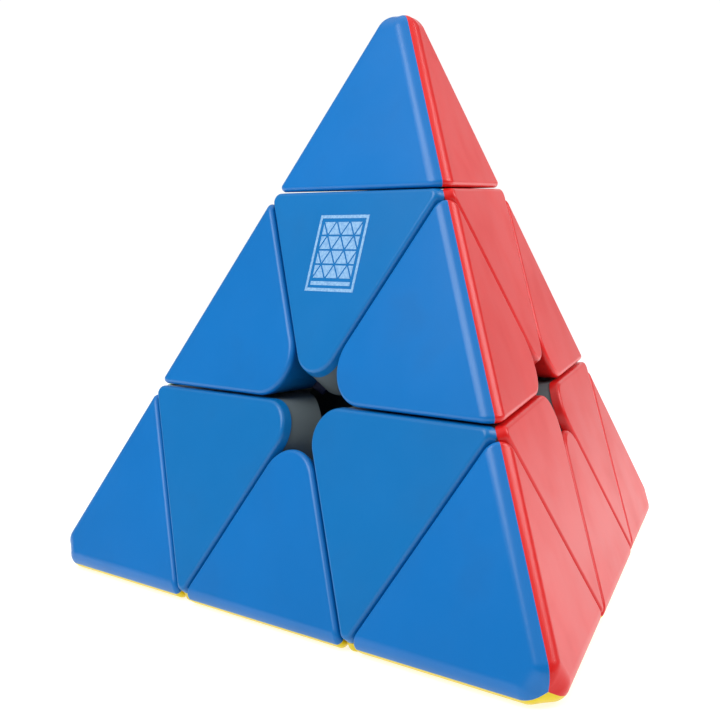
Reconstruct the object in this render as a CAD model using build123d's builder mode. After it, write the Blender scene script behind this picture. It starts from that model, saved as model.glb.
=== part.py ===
from build123d import *
import os
from math import atan2, cos, degrees, radians, sin, sqrt, tan

os.makedirs("parts", exist_ok=True)

# ---------------------------------------------------------------- dimensions
# Tetrahedral twisty puzzle. Origin at the core centre, where the four turning
# axes meet. +Z runs through the top tip; the puzzle stands on its bottom face.
overall_width = 98.0        # side of the puzzle, measured across two rounded tips
edge_round = 1.95           # rounding along the six outer edges
tip_edge_round = 2.2        # the same edges on a tip
vertex_blunt = 6.2          # sharp vertex down to the blunt end of a tip
vertex_round = 2.85         # rounding around the blunt end
vertex_loss = 4.391         # sharp vertex to the rounded tip, measured along an outer edge
rim_round = 0.65            # rounding around each coloured panel
gap = 0.3                   # space between neighbouring pieces
tip_gap = 0.16              # space between a tip and its axial piece
tip_ratio = 0.6556          # height of a tip cut, as a share of the puzzle height

sharp_edge = overall_width + 2 * vertex_loss
height = sharp_edge * sqrt(2 / 3)
face_dist = height / 4                      # core centre to a coloured face
layer_cut = height / 12                     # core centre to a layer's turning plane
tip_cut = height * (tip_ratio - 0.25)       # core centre to a tip's turning plane
half_gap = gap / 2
draft = 90 - degrees(atan2(2 * sqrt(2), 1))  # 19.47, lean of one face against the next
lean = 2 * sqrt(2) / 3                      # sine of the angle between two cut planes

centre_round_axial = 4.0    # corner of an axial panel at the middle of a face
centre_round_edge = 5.75     # corner of an edge panel at the middle of a face
cap_thick = 1.3             # coloured cap on an axial piece
frame_inset = 0.15          # frame wall behind the cap's own side
wall = 1.8                  # shells of tips and edge pieces

core_radius = 9.75
shell_inner = 10.0          # the feet slide between these two spheres
shell_outer = 15.8
body_inner = 16.2           # outer bodies start outside this sphere
foot_angle = 79.2           # a foot stays within this cone about each of its two axes
keepout_angle = 80.8        # and outside this cone about the other two
hub_angle = 28.5

post_radius = 3.0
post_top = 16.4
bore_radius = 3.15
shelf_z = 15.8
well_radius = 5.2
tube_radius = 6.8
screw_radius = 1.45
spring_mean_radius = 4.1
spring_wire = 0.35
spring_height = 5.2
washer_z = shelf_z + spring_height + 0.05
washer_thick = 0.8
screw_head_z = washer_z + washer_thick
stem_radius = 5.0
stem_bottom = 26.0
barb_radius = 5.45
groove_radius = 5.7

# ---------------------------------------------------------------- directions
origin = Vector(0, 0, 0)
axis_dir = {
    "top": Vector(0, 0, 1),
    "left": Vector(lean * cos(radians(150)), lean * sin(radians(150)), -1 / 3),
    "front": Vector(lean * cos(radians(-90)), lean * sin(radians(-90)), -1 / 3),
    "right": Vector(lean * cos(radians(30)), lean * sin(radians(30)), -1 / 3),
}
# each colour's face lies opposite one corner
face_normal = {
    "blue": -axis_dir["right"],
    "red": -axis_dir["left"],
    "yellow": -axis_dir["top"],
    "green": -axis_dir["front"],
}
face_corners = {
    "blue": ("top", "left", "front"),
    "red": ("top", "front", "right"),
    "yellow": ("left", "front", "right"),
    "green": ("top", "left", "right"),
}


def frame_plane(up, toward):
    """Plane through the origin with z along up and x leaning toward a face normal."""
    across = toward - up * toward.dot(up)
    return Plane(origin=origin, x_dir=across, z_dir=up)


def face_plane(azimuth, depth=0.0):
    """Coloured face of an axis-aligned piece, in the piece's own frame.

    The plane's y axis points up the face toward the tip and its z axis points
    out of the puzzle; its origin is the middle of the face.
    """
    out = Vector(lean * cos(radians(azimuth)), lean * sin(radians(azimuth)), 1 / 3)
    up = (Vector(0, 0, 1) - out * (1 / 3)) * (1 / lean)
    return Plane(origin=out * (face_dist - depth), x_dir=up.cross(out), z_dir=out)


def sector_plane(azimuth, inset=0.0):
    """Plane through the axis at azimuth +60 or -60, facing the sector at azimuth 0."""
    side = 1 if azimuth > 0 else -1
    normal = Vector(sin(radians(60)), -side * cos(radians(60)), 0)
    return Plane(origin=normal * inset, z_dir=normal)


# ---------------------------------------------------------------- tip piece
tip_base_z = tip_cut + tip_gap / 2
face_gap = half_gap / lean
side_slope = 3 / (2 * sqrt(2))

with BuildPart() as tip_solid:
    with BuildSketch(Plane.XY.offset(-face_dist)) as foot_triangle:
        RegularPolygon(radius=sharp_edge / sqrt(3), side_count=3, rotation=60)
    loft(sections=[foot_triangle.sketch.face(), Vertex(0, 0, 3 * face_dist)])
    split(bisect_by=Plane.XY.offset(tip_base_z), keep=Keep.TOP)
    split(bisect_by=Plane.XY.offset(3 * face_dist - vertex_blunt), keep=Keep.BOTTOM)
    level_edges = tip_solid.edges().filter_by(Plane.XY)
    fillet(tip_solid.edges() - level_edges, radius=tip_edge_round)
    fillet(tip_solid.faces().sort_by(Axis.Z)[-1].edges(), radius=vertex_round)
    fillet(tip_solid.faces().sort_by(Axis.Z)[0].edges(), radius=rim_round)

tip_hollow_apex = 3 * (face_dist - wall)


def hollow_apothem(z, inset):
    """Distance from the axis to a tip's inner wall at height z."""
    return (face_dist - inset - z / 3) * side_slope


with BuildPart() as tip_shells:
    add(tip_solid.part)
    with BuildSketch(Plane.XY.offset(tip_base_z)) as hollow_foot:
        RegularPolygon(hollow_apothem(tip_base_z, wall), 3, major_radius=False, rotation=60)
    with BuildSketch(Plane.XY.offset(tip_hollow_apex - 4)) as hollow_top:
        RegularPolygon(hollow_apothem(tip_hollow_apex - 4, wall), 3, major_radius=False,
                       rotation=60)
    loft(ruled=True, mode=Mode.SUBTRACT)

with BuildPart() as tip_shell:
    add(tip_shells.part)
    split(bisect_by=sector_plane(60), keep=Keep.TOP)
    split(bisect_by=sector_plane(-60), keep=Keep.TOP)

plate_top = tip_base_z + 2.2
collar_top = tip_base_z + 6.0
base_clear = 0.1
with BuildPart() as tip_base:
    # plate and collar that plug the hollow of the three shells
    with BuildSketch(Plane.XY.offset(tip_base_z)) as plate_low:
        RegularPolygon(hollow_apothem(tip_base_z, wall + base_clear), 3, major_radius=False,
                       rotation=60)
    with BuildSketch(Plane.XY.offset(collar_top)) as plate_high:
        RegularPolygon(hollow_apothem(collar_top, wall + base_clear), 3, major_radius=False,
                       rotation=60)
    loft(ruled=True)
    with BuildSketch(Plane.XY.offset(plate_top)):
        RegularPolygon(hollow_apothem(collar_top, wall + 1.6), 3, major_radius=False,
                       rotation=60)
    extrude(amount=collar_top - plate_top + 1, mode=Mode.SUBTRACT)
    # snap stem that turns in the axial piece's well
    with BuildSketch(Plane.XZ) as stem_profile:
        with BuildLine():
            Polyline(
                (0, tip_base_z + 0.5),
                (stem_radius, tip_base_z + 0.5),
                (stem_radius, stem_bottom + 2.0),
                (barb_radius, stem_bottom + 1.6),
                (barb_radius, stem_bottom + 0.8),
                (stem_radius - 0.4, stem_bottom),
                (stem_radius - 1.5, stem_bottom),
                (stem_radius - 1.5, tip_base_z + 0.8),
                (0, tip_base_z + 0.8),
                close=True,
            )
        make_face()
    revolve(axis=Axis.Z)
    with BuildSketch(Plane.XY.offset(stem_bottom - 1)):
        Rectangle(1.2, 14)
        Rectangle(14, 1.2)
    extrude(amount=6.5, mode=Mode.SUBTRACT)

# ---------------------------------------------------------------- axial piece
# On its face an axial panel is a triangle standing on its corner at the middle
# of the face; its two upper corners nearly reach the outer edges.
panel_low = 2 * face_gap
panel_top = (tip_cut - tip_gap / 2 - layer_cut) / lean
panel_height = panel_top - panel_low


def axial_panel(depth, inset):
    """Centre height, circumradius and growth of an axial panel at a depth below the face."""
    grow = depth * (1 / (2 * sqrt(2))) - inset
    middle = panel_low + panel_height * 2 / 3
    return middle, panel_height * 2 / 3 + 2 * grow, grow


with BuildPart() as axial_cap:
    low_middle, low_radius, low_grow = axial_panel(cap_thick, 0)
    with BuildSketch(face_plane(0, cap_thick)) as cap_outline:
        with Locations((0, low_middle)):
            RegularPolygon(radius=low_radius, side_count=3, rotation=-90)
        fillet(cap_outline.vertices().sort_by(Axis.Y)[0], radius=centre_round_axial + low_grow)
        fillet(cap_outline.vertices().sort_by(Axis.Y)[-2:], radius=1.0 + low_grow)
    extrude(amount=cap_thick, taper=draft)
    outer_panel = axial_cap.faces().sort_by(Axis((0, 0, 0), tuple(face_plane(0).z_dir)))[-1]
    fillet(outer_panel.edges(), radius=rim_round)
    split(bisect_by=sector_plane(60), keep=Keep.TOP)
    split(bisect_by=sector_plane(-60), keep=Keep.TOP)


# The white frame fills the octahedron behind the caps: one third per face.
with BuildPart() as frame_third:
    frame_middle, frame_radius, frame_grow = axial_panel(cap_thick, frame_inset)
    with BuildSketch(face_plane(0, cap_thick)) as frame_outline:
        with Locations((0, frame_middle)):
            RegularPolygon(radius=frame_radius, side_count=3, rotation=-90)
        fillet(frame_outline.vertices().sort_by(Axis.Y)[0], radius=centre_round_axial + frame_grow)
        fillet(frame_outline.vertices().sort_by(Axis.Y)[-2:], radius=1.0 + frame_grow)
    extrude(amount=-22, taper=-draft)
    split(bisect_by=sector_plane(60), keep=Keep.TOP)
    split(bisect_by=sector_plane(-60), keep=Keep.TOP)
    split(bisect_by=Plane.XY.offset(layer_cut + half_gap), keep=Keep.TOP)

# pocket behind each cap, clear of the middle tube and of the ribs between sectors
pocket_inset = 2.6
with BuildPart() as pocket:
    with BuildSketch(face_plane(0, cap_thick)) as pocket_outline:
        with Locations((0, frame_middle)):
            RegularPolygon(radius=frame_radius - 2 * pocket_inset, side_count=3, rotation=-90)
        fillet(pocket_outline.vertices(), radius=1.5)
    extrude(amount=-14)
    split(bisect_by=sector_plane(60, 0.8), keep=Keep.TOP)
    split(bisect_by=sector_plane(-60, 0.8), keep=Keep.TOP)
    Cylinder(tube_radius, 2 * height, mode=Mode.SUBTRACT)
    Sphere(body_inner + 1.8, mode=Mode.SUBTRACT)
    with BuildSketch(Plane.XY.offset(layer_cut + half_gap + 1.8)):
        Circle(sharp_edge)
    extrude(amount=-sharp_edge, mode=Mode.SUBTRACT)

with BuildPart() as axial_frame:
    with PolarLocations(0, 3):
        add(frame_third.part)
    Sphere(body_inner, mode=Mode.SUBTRACT)
    # hub that runs on the core post, in the space between the feet
    with BuildSketch(Plane.XZ) as hub_profile:
        with BuildLine():
            Line((0, shell_inner), (0, body_inner + 1))
            Line((0, body_inner + 1), ((body_inner + 1) * sin(radians(hub_angle)) + 0.4, body_inner + 1))
            Line(
                ((body_inner + 1) * sin(radians(hub_angle)) + 0.4, body_inner + 1),
                (body_inner * sin(radians(hub_angle)) + 0.4, body_inner * cos(radians(hub_angle))),
            )
            Line(
                (body_inner * sin(radians(hub_angle)) + 0.4, body_inner * cos(radians(hub_angle))),
                (shell_inner * sin(radians(hub_angle)), shell_inner * cos(radians(hub_angle))),
            )
            RadiusArc(
                (shell_inner * sin(radians(hub_angle)), shell_inner * cos(radians(hub_angle))),
                (0, shell_inner),
                -shell_inner,
            )
        make_face()
    revolve(axis=Axis.Z)
    with PolarLocations(0, 3):
        add(pocket.part, mode=Mode.SUBTRACT)
    # bore for the post, well for the spring and screw, groove for the tip's snap
    with BuildSketch(Plane.XZ) as well_profile:
        with BuildLine():
            Polyline(
                (0, 0),
                (bore_radius, 0),
                (bore_radius, shelf_z),
                (well_radius, shelf_z),
                (well_radius, stem_bottom + 0.3),
                (groove_radius, stem_bottom + 0.5),
                (groove_radius, stem_bottom + 1.8),
                (well_radius, stem_bottom + 2.3),
                (well_radius, tip_cut + 5),
                (0, tip_cut + 5),
                close=True,
            )
        make_face()
    revolve(axis=Axis.Z, mode=Mode.SUBTRACT)

# ---------------------------------------------------------------- edge piece
# Own frame: +Z from the core through the middle of the outer edge, +X toward one
# coloured face, +Y along the outer edge. The half is one coloured shell.
edge_mid = face_dist * sqrt(3)              # core centre to the sharp outer edge
# face normal in this frame: angle between the edge direction and a face normal
half_out = Vector(sqrt(2 / 3), 0, sqrt(1 / 3))
half_up = Vector(-sqrt(1 / 3), 0, sqrt(2 / 3))


def edge_face(depth=0.0):
    """Coloured face of the edge piece; local y runs up the face to the outer edge."""
    out = half_out * (face_dist - depth)
    return Plane(origin=out, x_dir=half_up.cross(half_out), z_dir=half_out)


panel_side = sharp_edge / (2 * sqrt(3))     # face centre to the outer edge, in the face
edge_panel_height = panel_side - 2 * face_gap

with BuildPart() as edge_quarter:
    with BuildSketch(edge_face()) as edge_outline:
        with Locations((0, panel_side - edge_panel_height / 3)):
            RegularPolygon(radius=edge_panel_height * 2 / 3, side_count=3, rotation=-90)
        fillet(edge_outline.vertices().sort_by(Axis.Y)[0], radius=centre_round_edge)
    extrude(amount=-15.2, taper=draft)
    split(bisect_by=Plane.YZ, keep=Keep.TOP)
    split(bisect_by=Plane.XZ, keep=Keep.BOTTOM)


def on_rim(edge):
    """True for the line where a coloured panel turns down into the gap beside it."""
    middle = edge.position_at(0.5)
    across = Vector(-half_out.X, 0, half_out.Z)
    height_over = max(middle.dot(half_out), middle.dot(across)) - face_dist
    at_end = abs(middle.X) < 0.01 and abs(middle.Y) > 10
    along = edge.geom_type == GeomType.LINE and abs(edge.tangent_at(0).Y) > 0.999
    return (abs(height_over) < 0.001 and not along) or at_end


with BuildPart() as edge_solid:
    add(edge_quarter.part)
    mirror(about=Plane.XZ)
    mirror(about=Plane.YZ)
    outer_edges = edge_solid.edges().filter_by(Axis.Y).sort_by(Axis.Z)
    fillet(outer_edges[-1], radius=edge_round)
    fillet(edge_solid.edges().filter_by(on_rim), radius=rim_round)


# hollow of the edge piece, open where its two shells meet
edge_wall = 1.7
turn_dirs = (Vector(0, sqrt(2 / 3), sqrt(1 / 3)), Vector(0, -sqrt(2 / 3), sqrt(1 / 3)))
still_dirs = (Vector(sqrt(2 / 3), 0, -sqrt(1 / 3)), Vector(-sqrt(2 / 3), 0, -sqrt(1 / 3)))
corner_in = half_up * cos(radians(draft)) + half_out * sin(radians(draft))
corner_point = half_out * face_dist + half_up * centre_round_edge + corner_in * edge_wall
floor_radius = 18.9

with BuildPart() as edge_hollow:
    with BuildSketch(Plane.XY):
        Rectangle(sharp_edge, sharp_edge)
    extrude(amount=sharp_edge)
    for side_dir in turn_dirs:
        split(bisect_by=Plane(origin=side_dir * (layer_cut + half_gap + edge_wall), z_dir=side_dir),
              keep=Keep.TOP)
    for mirror_x in (1, -1):
        out = Vector(mirror_x * half_out.X, 0, half_out.Z)
        corner = Vector(mirror_x * corner_in.X, 0, corner_in.Z)
        start = Vector(mirror_x * corner_point.X, 0, corner_point.Z)
        split(bisect_by=Plane(origin=out * (face_dist - 1.9), z_dir=out), keep=Keep.BOTTOM)
        split(bisect_by=Plane(origin=start, z_dir=corner), keep=Keep.TOP)
    Sphere(floor_radius, mode=Mode.SUBTRACT)

neck_long = 10.0
neck_wide = 3.0
head_low = floor_radius + 0.1
head_high = 25.0
pin_z = 22.3
with BuildPart() as edge_shell:
    add(edge_solid.part)
    Sphere(body_inner, mode=Mode.SUBTRACT)
    add(edge_hollow.part, mode=Mode.SUBTRACT)
    with BuildSketch(Plane.XY.offset(body_inner - 2)):
        Rectangle(neck_long + 0.3, neck_wide + 0.3)
    extrude(amount=6, mode=Mode.SUBTRACT)
    split(bisect_by=Plane.YZ, keep=Keep.TOP)
    # pin through the foot's head, and two bosses that meet the other shell's
    with BuildSketch(Plane.YZ.offset(0.15)):
        with Locations((0, pin_z)):
            Circle(1.1)
    extrude(amount=8.2)
    with BuildSketch(Plane.YZ.offset(0.02)):
        with Locations((8, 28.4), (-8, 28.4)):
            Circle(1.5)
    extrude(amount=4.2)


def turning_cone(direction, angle):
    """Cone about a turning axis with its point at the core centre."""
    side = Vector(1, 0, 0) if abs(direction.X) < 0.1 else Vector(0, 1, 0)
    reach = shell_outer + 4
    with BuildPart() as cone:
        with BuildSketch(Plane(origin=origin, x_dir=side, z_dir=side.cross(direction))):
            with BuildLine():
                Polyline((0, 0), (reach * tan(radians(angle)), reach), (0, reach), close=True)
            make_face()
        revolve(axis=Axis(origin, direction))
    return cone.part


with BuildPart() as edge_foot:
    Sphere(shell_outer)
    Sphere(shell_inner, mode=Mode.SUBTRACT)
    for side_dir in turn_dirs:
        add(turning_cone(side_dir, foot_angle), mode=Mode.INTERSECT)
    for side_dir in still_dirs:
        add(turning_cone(side_dir, keepout_angle), mode=Mode.SUBTRACT)
    with BuildSketch(Plane.XY.offset(shell_inner + 3.5)):
        Rectangle(neck_long, neck_wide)
    extrude(amount=head_low - shell_inner - 3.5 + 0.5)
    with BuildSketch(Plane.XY.offset(head_low)):
        Rectangle(12, 4.4)
    extrude(amount=head_high - head_low)
    with BuildSketch(Plane.YZ.offset(-10)):
        with Locations((0, pin_z)):
            Circle(1.2)
    extrude(amount=20, mode=Mode.SUBTRACT)

# ribs that hold a cap in its frame's pocket
with BuildPart() as cap_rib:
    with BuildSketch(face_plane(0, cap_thick)) as rib_outline:
        with Locations((0, frame_middle)):
            RegularPolygon(radius=frame_radius - 2 * (pocket_inset + 0.1), side_count=3,
                           rotation=-90)
        fillet(rib_outline.vertices(), radius=1.5)
    extrude(amount=-1.5)
    split(bisect_by=sector_plane(60, 0.9), keep=Keep.TOP)
    split(bisect_by=sector_plane(-60, 0.9), keep=Keep.TOP)
    with BuildSketch(face_plane(0, cap_thick)) as rib_opening:
        with Locations((0, frame_middle)):
            RegularPolygon(radius=frame_radius - 2 * (pocket_inset + 1.3), side_count=3,
                           rotation=-90)
        fillet(rib_opening.vertices(), radius=1.0)
    extrude(amount=-1.5, mode=Mode.SUBTRACT)

with BuildPart() as axial_panel_cap:
    add(axial_cap.part)
    add(cap_rib.part)

# ---------------------------------------------------------------- core and hardware
axis_planes = [
    frame_plane(axis_dir["top"], face_normal["blue"]),
    frame_plane(axis_dir["left"], face_normal["blue"]),
    frame_plane(axis_dir["front"], face_normal["blue"]),
    frame_plane(axis_dir["right"], face_normal["red"]),
]

with BuildPart() as core_spider:
    Sphere(core_radius)
    with BuildSketch(*axis_planes):
        Circle(post_radius)
    extrude(amount=post_top)
    with BuildSketch(*[plane.offset(6.0) for plane in axis_planes]):
        Circle(screw_radius)
    extrude(amount=post_top, mode=Mode.SUBTRACT)
core_spider.part.label = "core_spider"
export_step(core_spider.part, "parts/core_spider.step")

with BuildPart() as screw:
    with BuildSketch(Plane.XZ):
        with BuildLine():
            Polyline(
                (0, 6.3),
                (1.0, 6.3),
                (screw_radius, 7.4),
                (screw_radius, screw_head_z),
                (3.1, screw_head_z),
                (3.1, screw_head_z + 1.2),
            )
            ThreePointArc((3.1, screw_head_z + 1.2), (2.0, screw_head_z + 1.85),
                          (0, screw_head_z + 2.1))
            Line((0, screw_head_z + 2.1), (0, 6.3))
        make_face()
    revolve(axis=Axis.Z)
    with BuildSketch(Plane.XY.offset(screw_head_z + 0.7)):
        Rectangle(3.6, 0.7)
        Rectangle(0.7, 3.6)
    extrude(amount=3, mode=Mode.SUBTRACT)

with BuildPart() as washer:
    with BuildSketch(Plane.XY.offset(washer_z)):
        Circle(4.8)
        Circle(1.6, mode=Mode.SUBTRACT)
    extrude(amount=washer_thick)

spring_turns = 4
coil_height = spring_height - 2 * spring_wire - 0.04
with BuildPart() as spring:
    with BuildLine(Plane.XY.offset(shelf_z + spring_wire + 0.02)) as coil:
        Helix(pitch=coil_height / spring_turns, height=coil_height, radius=spring_mean_radius)
    with BuildSketch(Plane(origin=coil.line @ 0, z_dir=coil.line % 0)):
        Circle(spring_wire)
    sweep(path=coil.line)

for group_name, member in (("axis_screws", screw), ("axis_washers", washer),
                           ("axis_springs", spring)):
    with BuildPart(*axis_planes) as hardware:
        add(member.part)
    hardware.part.label = group_name
    export_step(hardware.part, "parts/" + group_name + ".step")


# ---------------------------------------------------------------- all the pieces
def place(master, up, toward, node_name):
    """Write one node: the master piece turned so its axis and face point as asked."""
    with BuildPart(frame_plane(up, toward)) as piece:
        add(master.part)
    piece.part.label = node_name
    export_step(piece.part, "parts/" + node_name + ".step")
    print(node_name, len(piece.part.solids()), round(piece.part.volume, 1))


for corner, up in axis_dir.items():
    colours = [colour for colour, corners in face_corners.items() if corner in corners]
    first = face_normal[colours[0]]
    place(tip_base, up, first, "tip_" + corner + "_base")
    place(axial_frame, up, first, "axial_" + corner + "_frame")
    for colour in colours:
        place(tip_shell, up, face_normal[colour], "tip_" + corner + "_shell_" + colour)
        place(axial_panel_cap, up, face_normal[colour], "axial_" + corner + "_cap_" + colour)

edge_pairs = (
    ("top", "left"),
    ("top", "front"),
    ("top", "right"),
    ("left", "front"),
    ("front", "right"),
    ("left", "right"),
)
for one, other in edge_pairs:
    up = (axis_dir[one] + axis_dir[other]).normalized()
    edge_name = "edge_" + one + "_" + other
    colours = [c for c, corners in face_corners.items() if one in corners and other in corners]
    place(edge_foot, up, face_normal[colours[0]], edge_name + "_foot")
    for colour in colours:
        place(edge_shell, up, face_normal[colour], edge_name + "_shell_" + colour)
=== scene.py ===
import bmesh, bpy, math
from mathutils import Matrix, Vector


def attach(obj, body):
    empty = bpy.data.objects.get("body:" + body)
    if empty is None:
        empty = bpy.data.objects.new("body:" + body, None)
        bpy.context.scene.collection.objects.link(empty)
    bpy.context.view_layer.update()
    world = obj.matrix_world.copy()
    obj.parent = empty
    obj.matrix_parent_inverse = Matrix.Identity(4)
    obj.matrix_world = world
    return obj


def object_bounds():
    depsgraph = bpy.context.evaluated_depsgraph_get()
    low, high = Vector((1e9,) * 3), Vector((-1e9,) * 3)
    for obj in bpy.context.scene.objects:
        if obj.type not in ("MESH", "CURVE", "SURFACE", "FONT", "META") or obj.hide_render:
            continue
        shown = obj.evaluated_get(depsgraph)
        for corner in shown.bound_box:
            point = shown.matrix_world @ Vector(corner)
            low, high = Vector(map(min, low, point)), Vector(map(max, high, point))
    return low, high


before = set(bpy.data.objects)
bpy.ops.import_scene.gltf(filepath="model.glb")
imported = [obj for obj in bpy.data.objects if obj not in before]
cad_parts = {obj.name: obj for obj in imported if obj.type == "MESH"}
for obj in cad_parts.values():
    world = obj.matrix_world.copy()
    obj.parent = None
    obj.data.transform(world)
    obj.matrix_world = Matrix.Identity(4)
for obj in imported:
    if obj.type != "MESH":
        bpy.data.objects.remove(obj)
cad_low, cad_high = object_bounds()

# ------------------------------------------------------------------ the puzzle's own sizes
MM = 0.001
PLASTIC_IOR = 1.40
face_dist = -cad_low[2]                       # core centre to each coloured face
height = 4 * face_dist
side = height / math.sqrt(2 / 3)
lean = 2 * math.sqrt(2) / 3


def corner(azimuth):
    a = math.radians(azimuth)
    return Vector((lean * math.cos(a), lean * math.sin(a), -1 / 3))


axis = {"top": Vector((0, 0, 1)), "left": corner(150), "front": corner(-90), "right": corner(30)}
normal = {"blue": -axis["right"], "red": -axis["left"], "yellow": -axis["top"], "green": -axis["front"]}


# ------------------------------------------------------------------ materials
class Graph:
    """A small helper that adds nodes to one material and links them."""

    def __init__(self, name):
        self.mat = bpy.data.materials.new(name)
        self.mat.use_nodes = True
        self.tree = self.mat.node_tree
        self.shader = self.tree.nodes["Principled BSDF"]

    def add(self, kind, values=None, **props):
        n = self.tree.nodes.new(kind)
        for k, v in props.items():
            setattr(n, k, v)
        for k, v in (values or {}).items():
            n.inputs[k].default_value = v
        return n

    def link(self, a, b):
        self.tree.links.new(a, b)

    def coords(self, shift=(0, 0, 0)):
        tex = self.add("ShaderNodeTexCoord")
        m = self.add("ShaderNodeMapping", {"Location": shift})
        self.link(tex.outputs["Object"], m.inputs["Vector"])
        return m.outputs["Vector"]

    def noise(self, vec, scale, detail, rough=0.5):
        n = self.add("ShaderNodeTexNoise", {"Scale": scale, "Detail": detail, "Roughness": rough})
        self.link(vec, n.inputs["Vector"])
        return n.outputs["Fac"]

    def remap(self, fac, low, high, out_low, out_high):
        n = self.add("ShaderNodeMapRange", {"From Min": low, "From Max": high})
        n.inputs["To Min"].default_value = out_low
        n.inputs["To Max"].default_value = out_high
        self.link(fac, n.inputs["Value"])
        return n.outputs["Result"]

    def math(self, op, a, b):
        n = self.add("ShaderNodeMath", operation=op)
        for i, v in enumerate((a, b)):
            if hasattr(v, "links"):
                self.link(v, n.inputs[i])
            else:
                n.inputs[i].default_value = v
        return n.outputs[0]

    def mix(self, fac, a, b):
        n = self.add("ShaderNodeMix", data_type="RGBA")
        self.link(fac, n.inputs["Factor"])
        for key, v in (("A", a), ("B", b)):
            s = [i for i in n.inputs if i.name == key and i.type == "RGBA"][0]
            if hasattr(v, "links"):
                self.link(v, s)
            else:
                s.default_value = (*v, 1)
        return [o for o in n.outputs if o.type == "RGBA"][0]

    def bump(self, height_value, strength, distance):
        b = self.add("ShaderNodeBump", {"Strength": strength, "Distance": distance})
        self.link(height_value, b.inputs["Height"])
        self.link(b.outputs["Normal"], self.shader.inputs["Normal"])


def scaled(colour, factor, lift=0.0):
    return tuple(c * factor + lift for c in colour)


def moulded_plastic(name, colour, rough, shift, smudge=1.0):
    """Satin moulded plastic: cloudy pigment, faint finger smudges, pale dust and a fine grain."""
    g = Graph(name)
    vec = g.coords(shift)
    cloud = g.noise(vec, 46.0, 4.0, 0.55)
    smear = g.noise(vec, 110.0, 2.0, 0.5)
    speck = g.noise(vec, 900.0, 2.0, 0.5)
    base = g.mix(g.remap(cloud, 0.32, 0.68, 0.0, 1.0), scaled(colour, 0.95), scaled(colour, 1.04))
    base = g.mix(g.remap(smear, 0.58, 0.72, 0.0, 0.30 * smudge), base, scaled(colour, 0.86))
    base = g.mix(g.remap(speck, 0.35, 0.75, 0.0, 0.05), base, scaled(colour, 0.97, lift=0.02))
    g.link(base, g.shader.inputs["Base Color"])
    # smudges are a little duller than the clean surface
    dulled = g.remap(smear, 0.42, 0.72, rough, rough + 0.05 * smudge)
    g.link(dulled, g.shader.inputs["Roughness"])
    # relief: slight sink over the thick walls, and the fine grain of the mould
    relief = g.math("MULTIPLY", g.noise(vec, 60.0, 1.0, 0.4), 0.05)
    relief = g.math("ADD", relief, g.math("MULTIPLY", g.noise(vec, 420.0, 1.0), 0.003))
    g.bump(relief, strength=0.25, distance=0.6 * MM)
    g.shader.inputs["IOR"].default_value = PLASTIC_IOR
    return g.mat


def dark_plastic(name, colour):
    g = Graph(name)
    vec = g.coords((0.3, 0.1, 0.2))
    cloud = g.noise(vec, 120.0, 4.0, 0.6)
    base = g.mix(g.remap(cloud, 0.35, 0.65, 0.0, 1.0), scaled(colour, 0.75), scaled(colour, 1.2))
    g.link(base, g.shader.inputs["Base Color"])
    g.link(g.remap(g.noise(vec, 260.0, 3.0), 0.3, 0.7, 0.34, 0.52), g.shader.inputs["Roughness"])
    g.bump(g.noise(vec, 3000.0, 2.0), strength=0.15, distance=0.1 * MM)
    return g.mat


def bright_steel(name):
    g = Graph(name)
    vec = g.coords((0.7, 0.4, 0.1))
    turn = g.add("ShaderNodeMapping", {"Scale": (1.0, 1.0, 14.0)})
    g.link(vec, turn.inputs["Vector"])
    lines = g.noise(turn.outputs["Vector"], 700.0, 3.0, 0.6)
    base = g.mix(lines, (0.42, 0.42, 0.45), (0.74, 0.74, 0.77))
    g.link(base, g.shader.inputs["Base Color"])
    g.link(g.remap(lines, 0.3, 0.7, 0.20, 0.38), g.shader.inputs["Roughness"])
    g.bump(lines, strength=0.2, distance=0.05 * MM)
    g.shader.inputs["Metallic"].default_value = 1.0
    return g.mat


tones = {
    "blue": (0.002, 0.162, 0.495),
    "red": (0.700, 0.012, 0.011),
    "yellow": (0.80, 0.62, 0.012),
    "green": (0.012, 0.36, 0.07),
}
# the three kinds of piece are moulded separately, so their blues differ a little
kinds = {"tip": (1.0, 1.01, 1.03), "axial": (1.0, 1.0, 0.94), "edge": (1.0, 0.99, 1.0)}
finish = {}
for kind, tone in kinds.items():
    for i, (colour, rgb) in enumerate(tones.items()):
        mixed = tuple(c * t for c, t in zip(rgb, tone)) if colour == "blue" else rgb
        place = (0.13 * i, 0.07 * len(kind), 0.05 * i)
        finish[kind, colour] = moulded_plastic(f"{kind}_{colour}_plastic", mixed, 0.29, place)
# painted shade: the frame is whitish plastic, but its tone is darkened to stand for the shade it lies in
# deep inside the holes
frame_darkened_as_shade = moulded_plastic("whitish_frame_painted_shade", (0.13, 0.16, 0.17), 0.42, (0.9, 0.2, 0.4), smudge=0.5)
base_plastic = moulded_plastic("tip_base_plastic", (0.03, 0.04, 0.055), 0.42, (0.4, 0.2, 0.9), smudge=0.5)
foot_plastic = dark_plastic("foot_plastic", (0.008, 0.025, 0.14))
core_plastic = dark_plastic("core_plastic", (0.010, 0.022, 0.11))
steel = bright_steel("hardware_steel")


def dress(node, material):
    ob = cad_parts[node]
    if not ob.material_slots:
        ob.data.materials.append(material)
    for s in ob.material_slots:
        s.material = material


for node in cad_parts:
    part = node.split("_")
    if part[-1] in tones:
        dress(node, finish[part[0], part[-1]])
    elif part[-1] == "frame":
        dress(node, frame_darkened_as_shade)
    elif part[-1] == "base":
        dress(node, base_plastic)
    elif part[-1] == "foot":
        dress(node, foot_plastic)
    elif node == "core_spider":
        dress(node, core_plastic)
    else:
        dress(node, steel)

# ------------------------------------------------------------------ printed emblem on the top piece
def face_frame(colour, up_axis):
    """Origin, across, up and out of one coloured face."""
    out = normal[colour]
    up = (up_axis - out * up_axis.dot(out)).normalized()
    return out * face_dist, up.cross(out).normalized(), up, out


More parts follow.
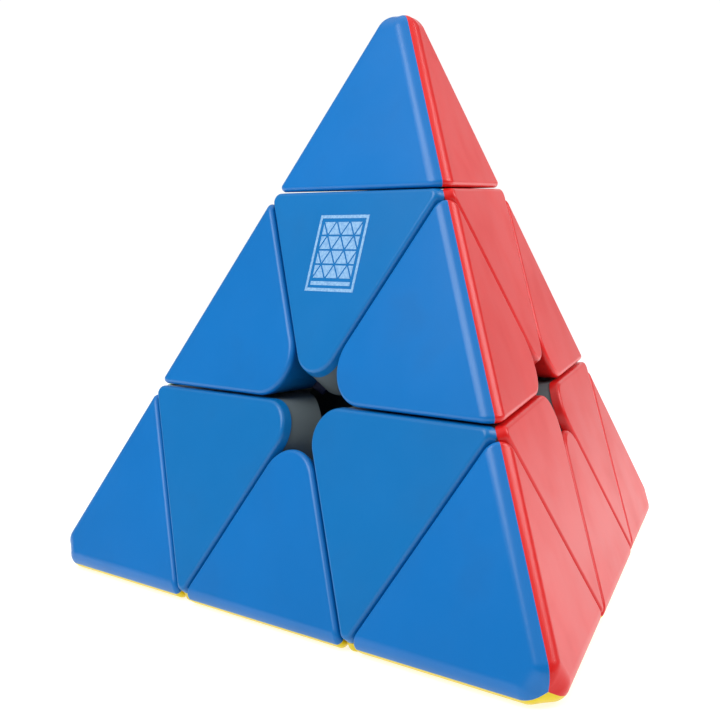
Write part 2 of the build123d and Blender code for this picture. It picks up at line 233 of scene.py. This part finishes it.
def ink_material():
    g = Graph("printed_ink")
    vec = g.coords((0.2, 0.6, 0.1))
    cover = g.noise(vec, 2600.0, 2.0, 0.6)
    base = g.mix(g.remap(cover, 0.35, 0.62, 0.0, 1.0), (0.17, 0.37, 0.66), (0.27, 0.49, 0.75))
    g.link(base, g.shader.inputs["Base Color"])
    g.link(g.remap(cover, 0.3, 0.7, 0.42, 0.55), g.shader.inputs["Roughness"])
    g.bump(cover, strength=0.2, distance=0.03 * MM)
    return g.mat


def rectangle(left, low, right, high):
    return [(left, low), (right, low), (right, high), (left, high)]


def shrunk(triangle, inset):
    """The triangle with each of its sides moved in by the inset."""
    a, b, c = triangle
    sides = [math.dist(b, c), math.dist(c, a), math.dist(a, b)]
    round_about = sum(sides)
    mid_u, mid_v = (sum(n * p[i] for n, p in zip(sides, triangle)) / round_about for i in (0, 1))
    area = abs((b[0] - a[0]) * (c[1] - a[1]) - (c[0] - a[0]) * (b[1] - a[1])) / 2
    factor = 1 - inset * round_about / (2 * area)
    return [(mid_u + (u - mid_u) * factor, mid_v + (v - mid_v) * factor) for u, v in triangle]


def emblem():
    """A printed patch in one thin layer of ink: an outline frame filled with rows of small triangles."""
    half_width, half_height, bar = 4.9 * MM, 5.4 * MM, 0.45 * MM
    ink_top, ink_low = 0.032 * MM, -0.02 * MM     # the ink stands proud of the face and starts below it
    cell, rows, columns = 2.67 * MM, 4, 3
    triangle_inset = 0.13 * MM
    centre_rise = 0.196                           # up the face from its middle, in sides of the puzzle

    at, across, up, out = face_frame("blue", axis["top"])
    centre = at + up * side * centre_rise
    bm = bmesh.new()

    def point(u, v, w):
        return bm.verts.new(centre + across * u + up * v + out * w)

    def slab(loop):
        """A closed thin plate on the face, from its outline."""
        top = [point(u, v, ink_top) for u, v in loop]
        low = [point(u, v, ink_low) for u, v in loop]
        bm.faces.new(top)
        bm.faces.new(low[::-1])
        for i in range(len(loop)):
            j = (i + 1) % len(loop)
            bm.faces.new((low[i], low[j], top[j], top[i]))

    # outline frame and a solid foot bar
    w, h, t = half_width, half_height, bar
    slab(rectangle(-w, -h, w, -h + t))
    slab(rectangle(-w, h - t, w, h))
    slab(rectangle(-w, -h + t, -w + t, h - t))
    slab(rectangle(w - t, -h + t, w, h - t))
    slab(rectangle(-w + 2 * t, -h + 1.9 * t, w - 2 * t, -h + 3.1 * t))
    # four rows of small triangles, every second row turned over
    left, low = -columns * cell / 2, -h + 3.9 * t
    row_height = (h - 1.9 * t - low) / rows
    for row in range(rows):
        v0, v1 = low + row * row_height, low + (row + 1) * row_height
        if row % 2:
            v0, v1 = v1, v0
        tiles = []
        for k in range(columns):
            u = left + k * cell
            tiles.append([(u, v0), (u + cell, v0), (u + cell / 2, v1)])
            if k < columns - 1:
                tiles.append([(u + cell / 2, v1), (u + 3 * cell / 2, v1), (u + cell, v0)])
        tiles.append([(left, v0), (left + cell / 2, v1), (left, v1)])
        tiles.append([(-left, v0), (-left, v1), (-left - cell / 2, v1)])
        for triangle in tiles:
            slab(shrunk(triangle, triangle_inset))
    me = bpy.data.meshes.new("printed_emblem")
    bm.normal_update()
    bmesh.ops.recalc_face_normals(bm, faces=bm.faces)
    bm.to_mesh(me)
    bm.free()
    ob = bpy.data.objects.new("printed_emblem", me)
    bpy.context.scene.collection.objects.link(ob)
    me.materials.append(ink_material())
    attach(ob, "axial_top")


emblem()

# ------------------------------------------------------------------ floor, lights and camera
floor_mesh = bpy.data.meshes.new("floor")
reach = 6.0
floor_gap = 0.05 * MM
floor_outline = [(u, v, 0) for u, v in rectangle(-reach, -reach, reach, reach)]
floor_mesh.from_pydata(floor_outline, [], [(0, 1, 2, 3)])
floor = bpy.data.objects.new("floor", floor_mesh)
floor.location = (0, 0, cad_low[2] - floor_gap)
bpy.context.scene.collection.objects.link(floor)
floor_look = Graph("pale_floor")
vec = floor_look.coords()
tone = floor_look.mix(floor_look.noise(vec, 6.0, 2.0), (0.49, 0.49, 0.49), (0.51, 0.51, 0.51))
floor_look.link(tone, floor_look.shader.inputs["Base Color"])
floor_look.shader.inputs["Roughness"].default_value = 0.9
floor_look.shader.inputs["Specular IOR Level"].default_value = 0.1
# a weak glow keeps the floor as pale as the room, although the room lights it dimly
floor_look.shader.inputs["Emission Color"].default_value = (1.0, 1.0, 1.0, 1)
floor_look.shader.inputs["Emission Strength"].default_value = 0.70
floor_mesh.materials.append(floor_look.mat)

world = bpy.data.worlds.new("studio")
bpy.context.scene.world = world
world.use_nodes = True
sky = world.node_tree
background = sky.nodes["Background"]
SEEN_WHITE = 1.04                                 # just past white, so that the horizon doesn't show


def sky_node(kind, values=None, **props):
    n = sky.nodes.new(kind)
    for k, v in props.items():
        setattr(n, k, v)
    for k, v in (values or {}).items():
        n.inputs[k].default_value = v
    return n


def soft_step(low, high, out_low, out_high):
    values = {"From Min": low, "From Max": high, "To Min": out_low, "To Max": out_high}
    return sky_node("ShaderNodeMapRange", values, interpolation_type="SMOOTHSTEP")


# a dim room with a white panel in the +Y direction and a soft light ceiling
direction = sky_node("ShaderNodeTexCoord").outputs["Generated"]
toward_back = sky_node("ShaderNodeVectorMath", operation="DOT_PRODUCT")
toward_back.inputs[1].default_value = (0.26, 0.966, 0.0)
overhead = sky_node("ShaderNodeVectorMath", operation="DOT_PRODUCT")
overhead.inputs[1].default_value = (0.0, 0.0, 1.0)
room = soft_step(0.84, 0.95, 0.15, SEEN_WHITE)
ceiling = soft_step(0.35, 1.0, 0.0, 0.9)
total = sky_node("ShaderNodeMath", operation="ADD")
for source in (toward_back, overhead):
    sky.links.new(direction, source.inputs[0])
sky.links.new(toward_back.outputs["Value"], room.inputs["Value"])
sky.links.new(overhead.outputs["Value"], ceiling.inputs["Value"])
sky.links.new(room.outputs["Result"], total.inputs[0])
sky.links.new(ceiling.outputs["Result"], total.inputs[1])
# the room is seen plain white, and lights the puzzle with its dimmer tones
seen = sky_node("ShaderNodeLightPath").outputs["Is Camera Ray"]
plain = sky_node("ShaderNodeMix", data_type="FLOAT")
plain.inputs["B"].default_value = SEEN_WHITE
sky.links.new(seen, plain.inputs["Factor"])
sky.links.new(total.outputs[0], plain.inputs["A"])
sky.links.new(plain.outputs["Result"], background.inputs["Strength"])
background.inputs["Color"].default_value = (1.0, 1.0, 1.0, 1)


def softbox(name, place, aim, size, power):
    data = bpy.data.lights.new(name, "AREA")
    data.shape = "RECTANGLE"
    data.size, data.size_y = size
    data.energy = power
    ob = bpy.data.objects.new(name, data)
    ob.location = place
    ob.rotation_euler = (Vector(aim) - Vector(place)).to_track_quat("-Z", "Y").to_euler()
    bpy.context.scene.collection.objects.link(ob)


softbox("key", (-0.17, -0.05, 0.18), (0, -0.01, 0.02), (0.15, 0.15), 0.36)
softbox("side", (0.28, -0.06, 0.21), (0, 0.0, 0.01), (0.20, 0.20), 0.68)

# Camera: the angles and distance that lay the CAD's cut lines over the photographed ones.
# Distance, sideways and up moves are in sides of the puzzle. The shift keeps the photo's framing.
az, el, roll = math.radians(-15.07), math.radians(8.97), math.radians(-1.38)
distance, across0, rise0 = 1.8844, 0.011, 0.0209
SENSOR = 36.0
focal = 1.9161111 * SENSOR
shift = (-1 / 12, 1 / 12)
back = Vector((math.sin(az) * math.cos(el), -math.cos(az) * math.cos(el), math.sin(el)))
right = Vector((math.cos(az), math.sin(az), 0))
up = back.cross(right)
turned_right = right * math.cos(roll) + up * math.sin(roll)
turned_up = up * math.cos(roll) - right * math.sin(roll)
cam_data = bpy.data.cameras.new("camera")
cam_data.sensor_width = SENSOR
cam_data.lens = focal
cam_data.shift_x, cam_data.shift_y = shift
cam_data.clip_start, cam_data.clip_end = 0.01, 20.0
cam = bpy.data.objects.new("camera", cam_data)
place = (back * distance + right * across0 + up * rise0) * side
cam.matrix_world = Matrix((
    (turned_right[0], turned_up[0], back[0], place[0]),
    (turned_right[1], turned_up[1], back[1], place[1]),
    (turned_right[2], turned_up[2], back[2], place[2]),
    (0, 0, 0, 1)))
bpy.context.scene.collection.objects.link(cam)
bpy.context.scene.camera = cam
bpy.context.scene.view_settings.view_transform = "Standard"
bpy.context.scene.view_settings.look = "None"
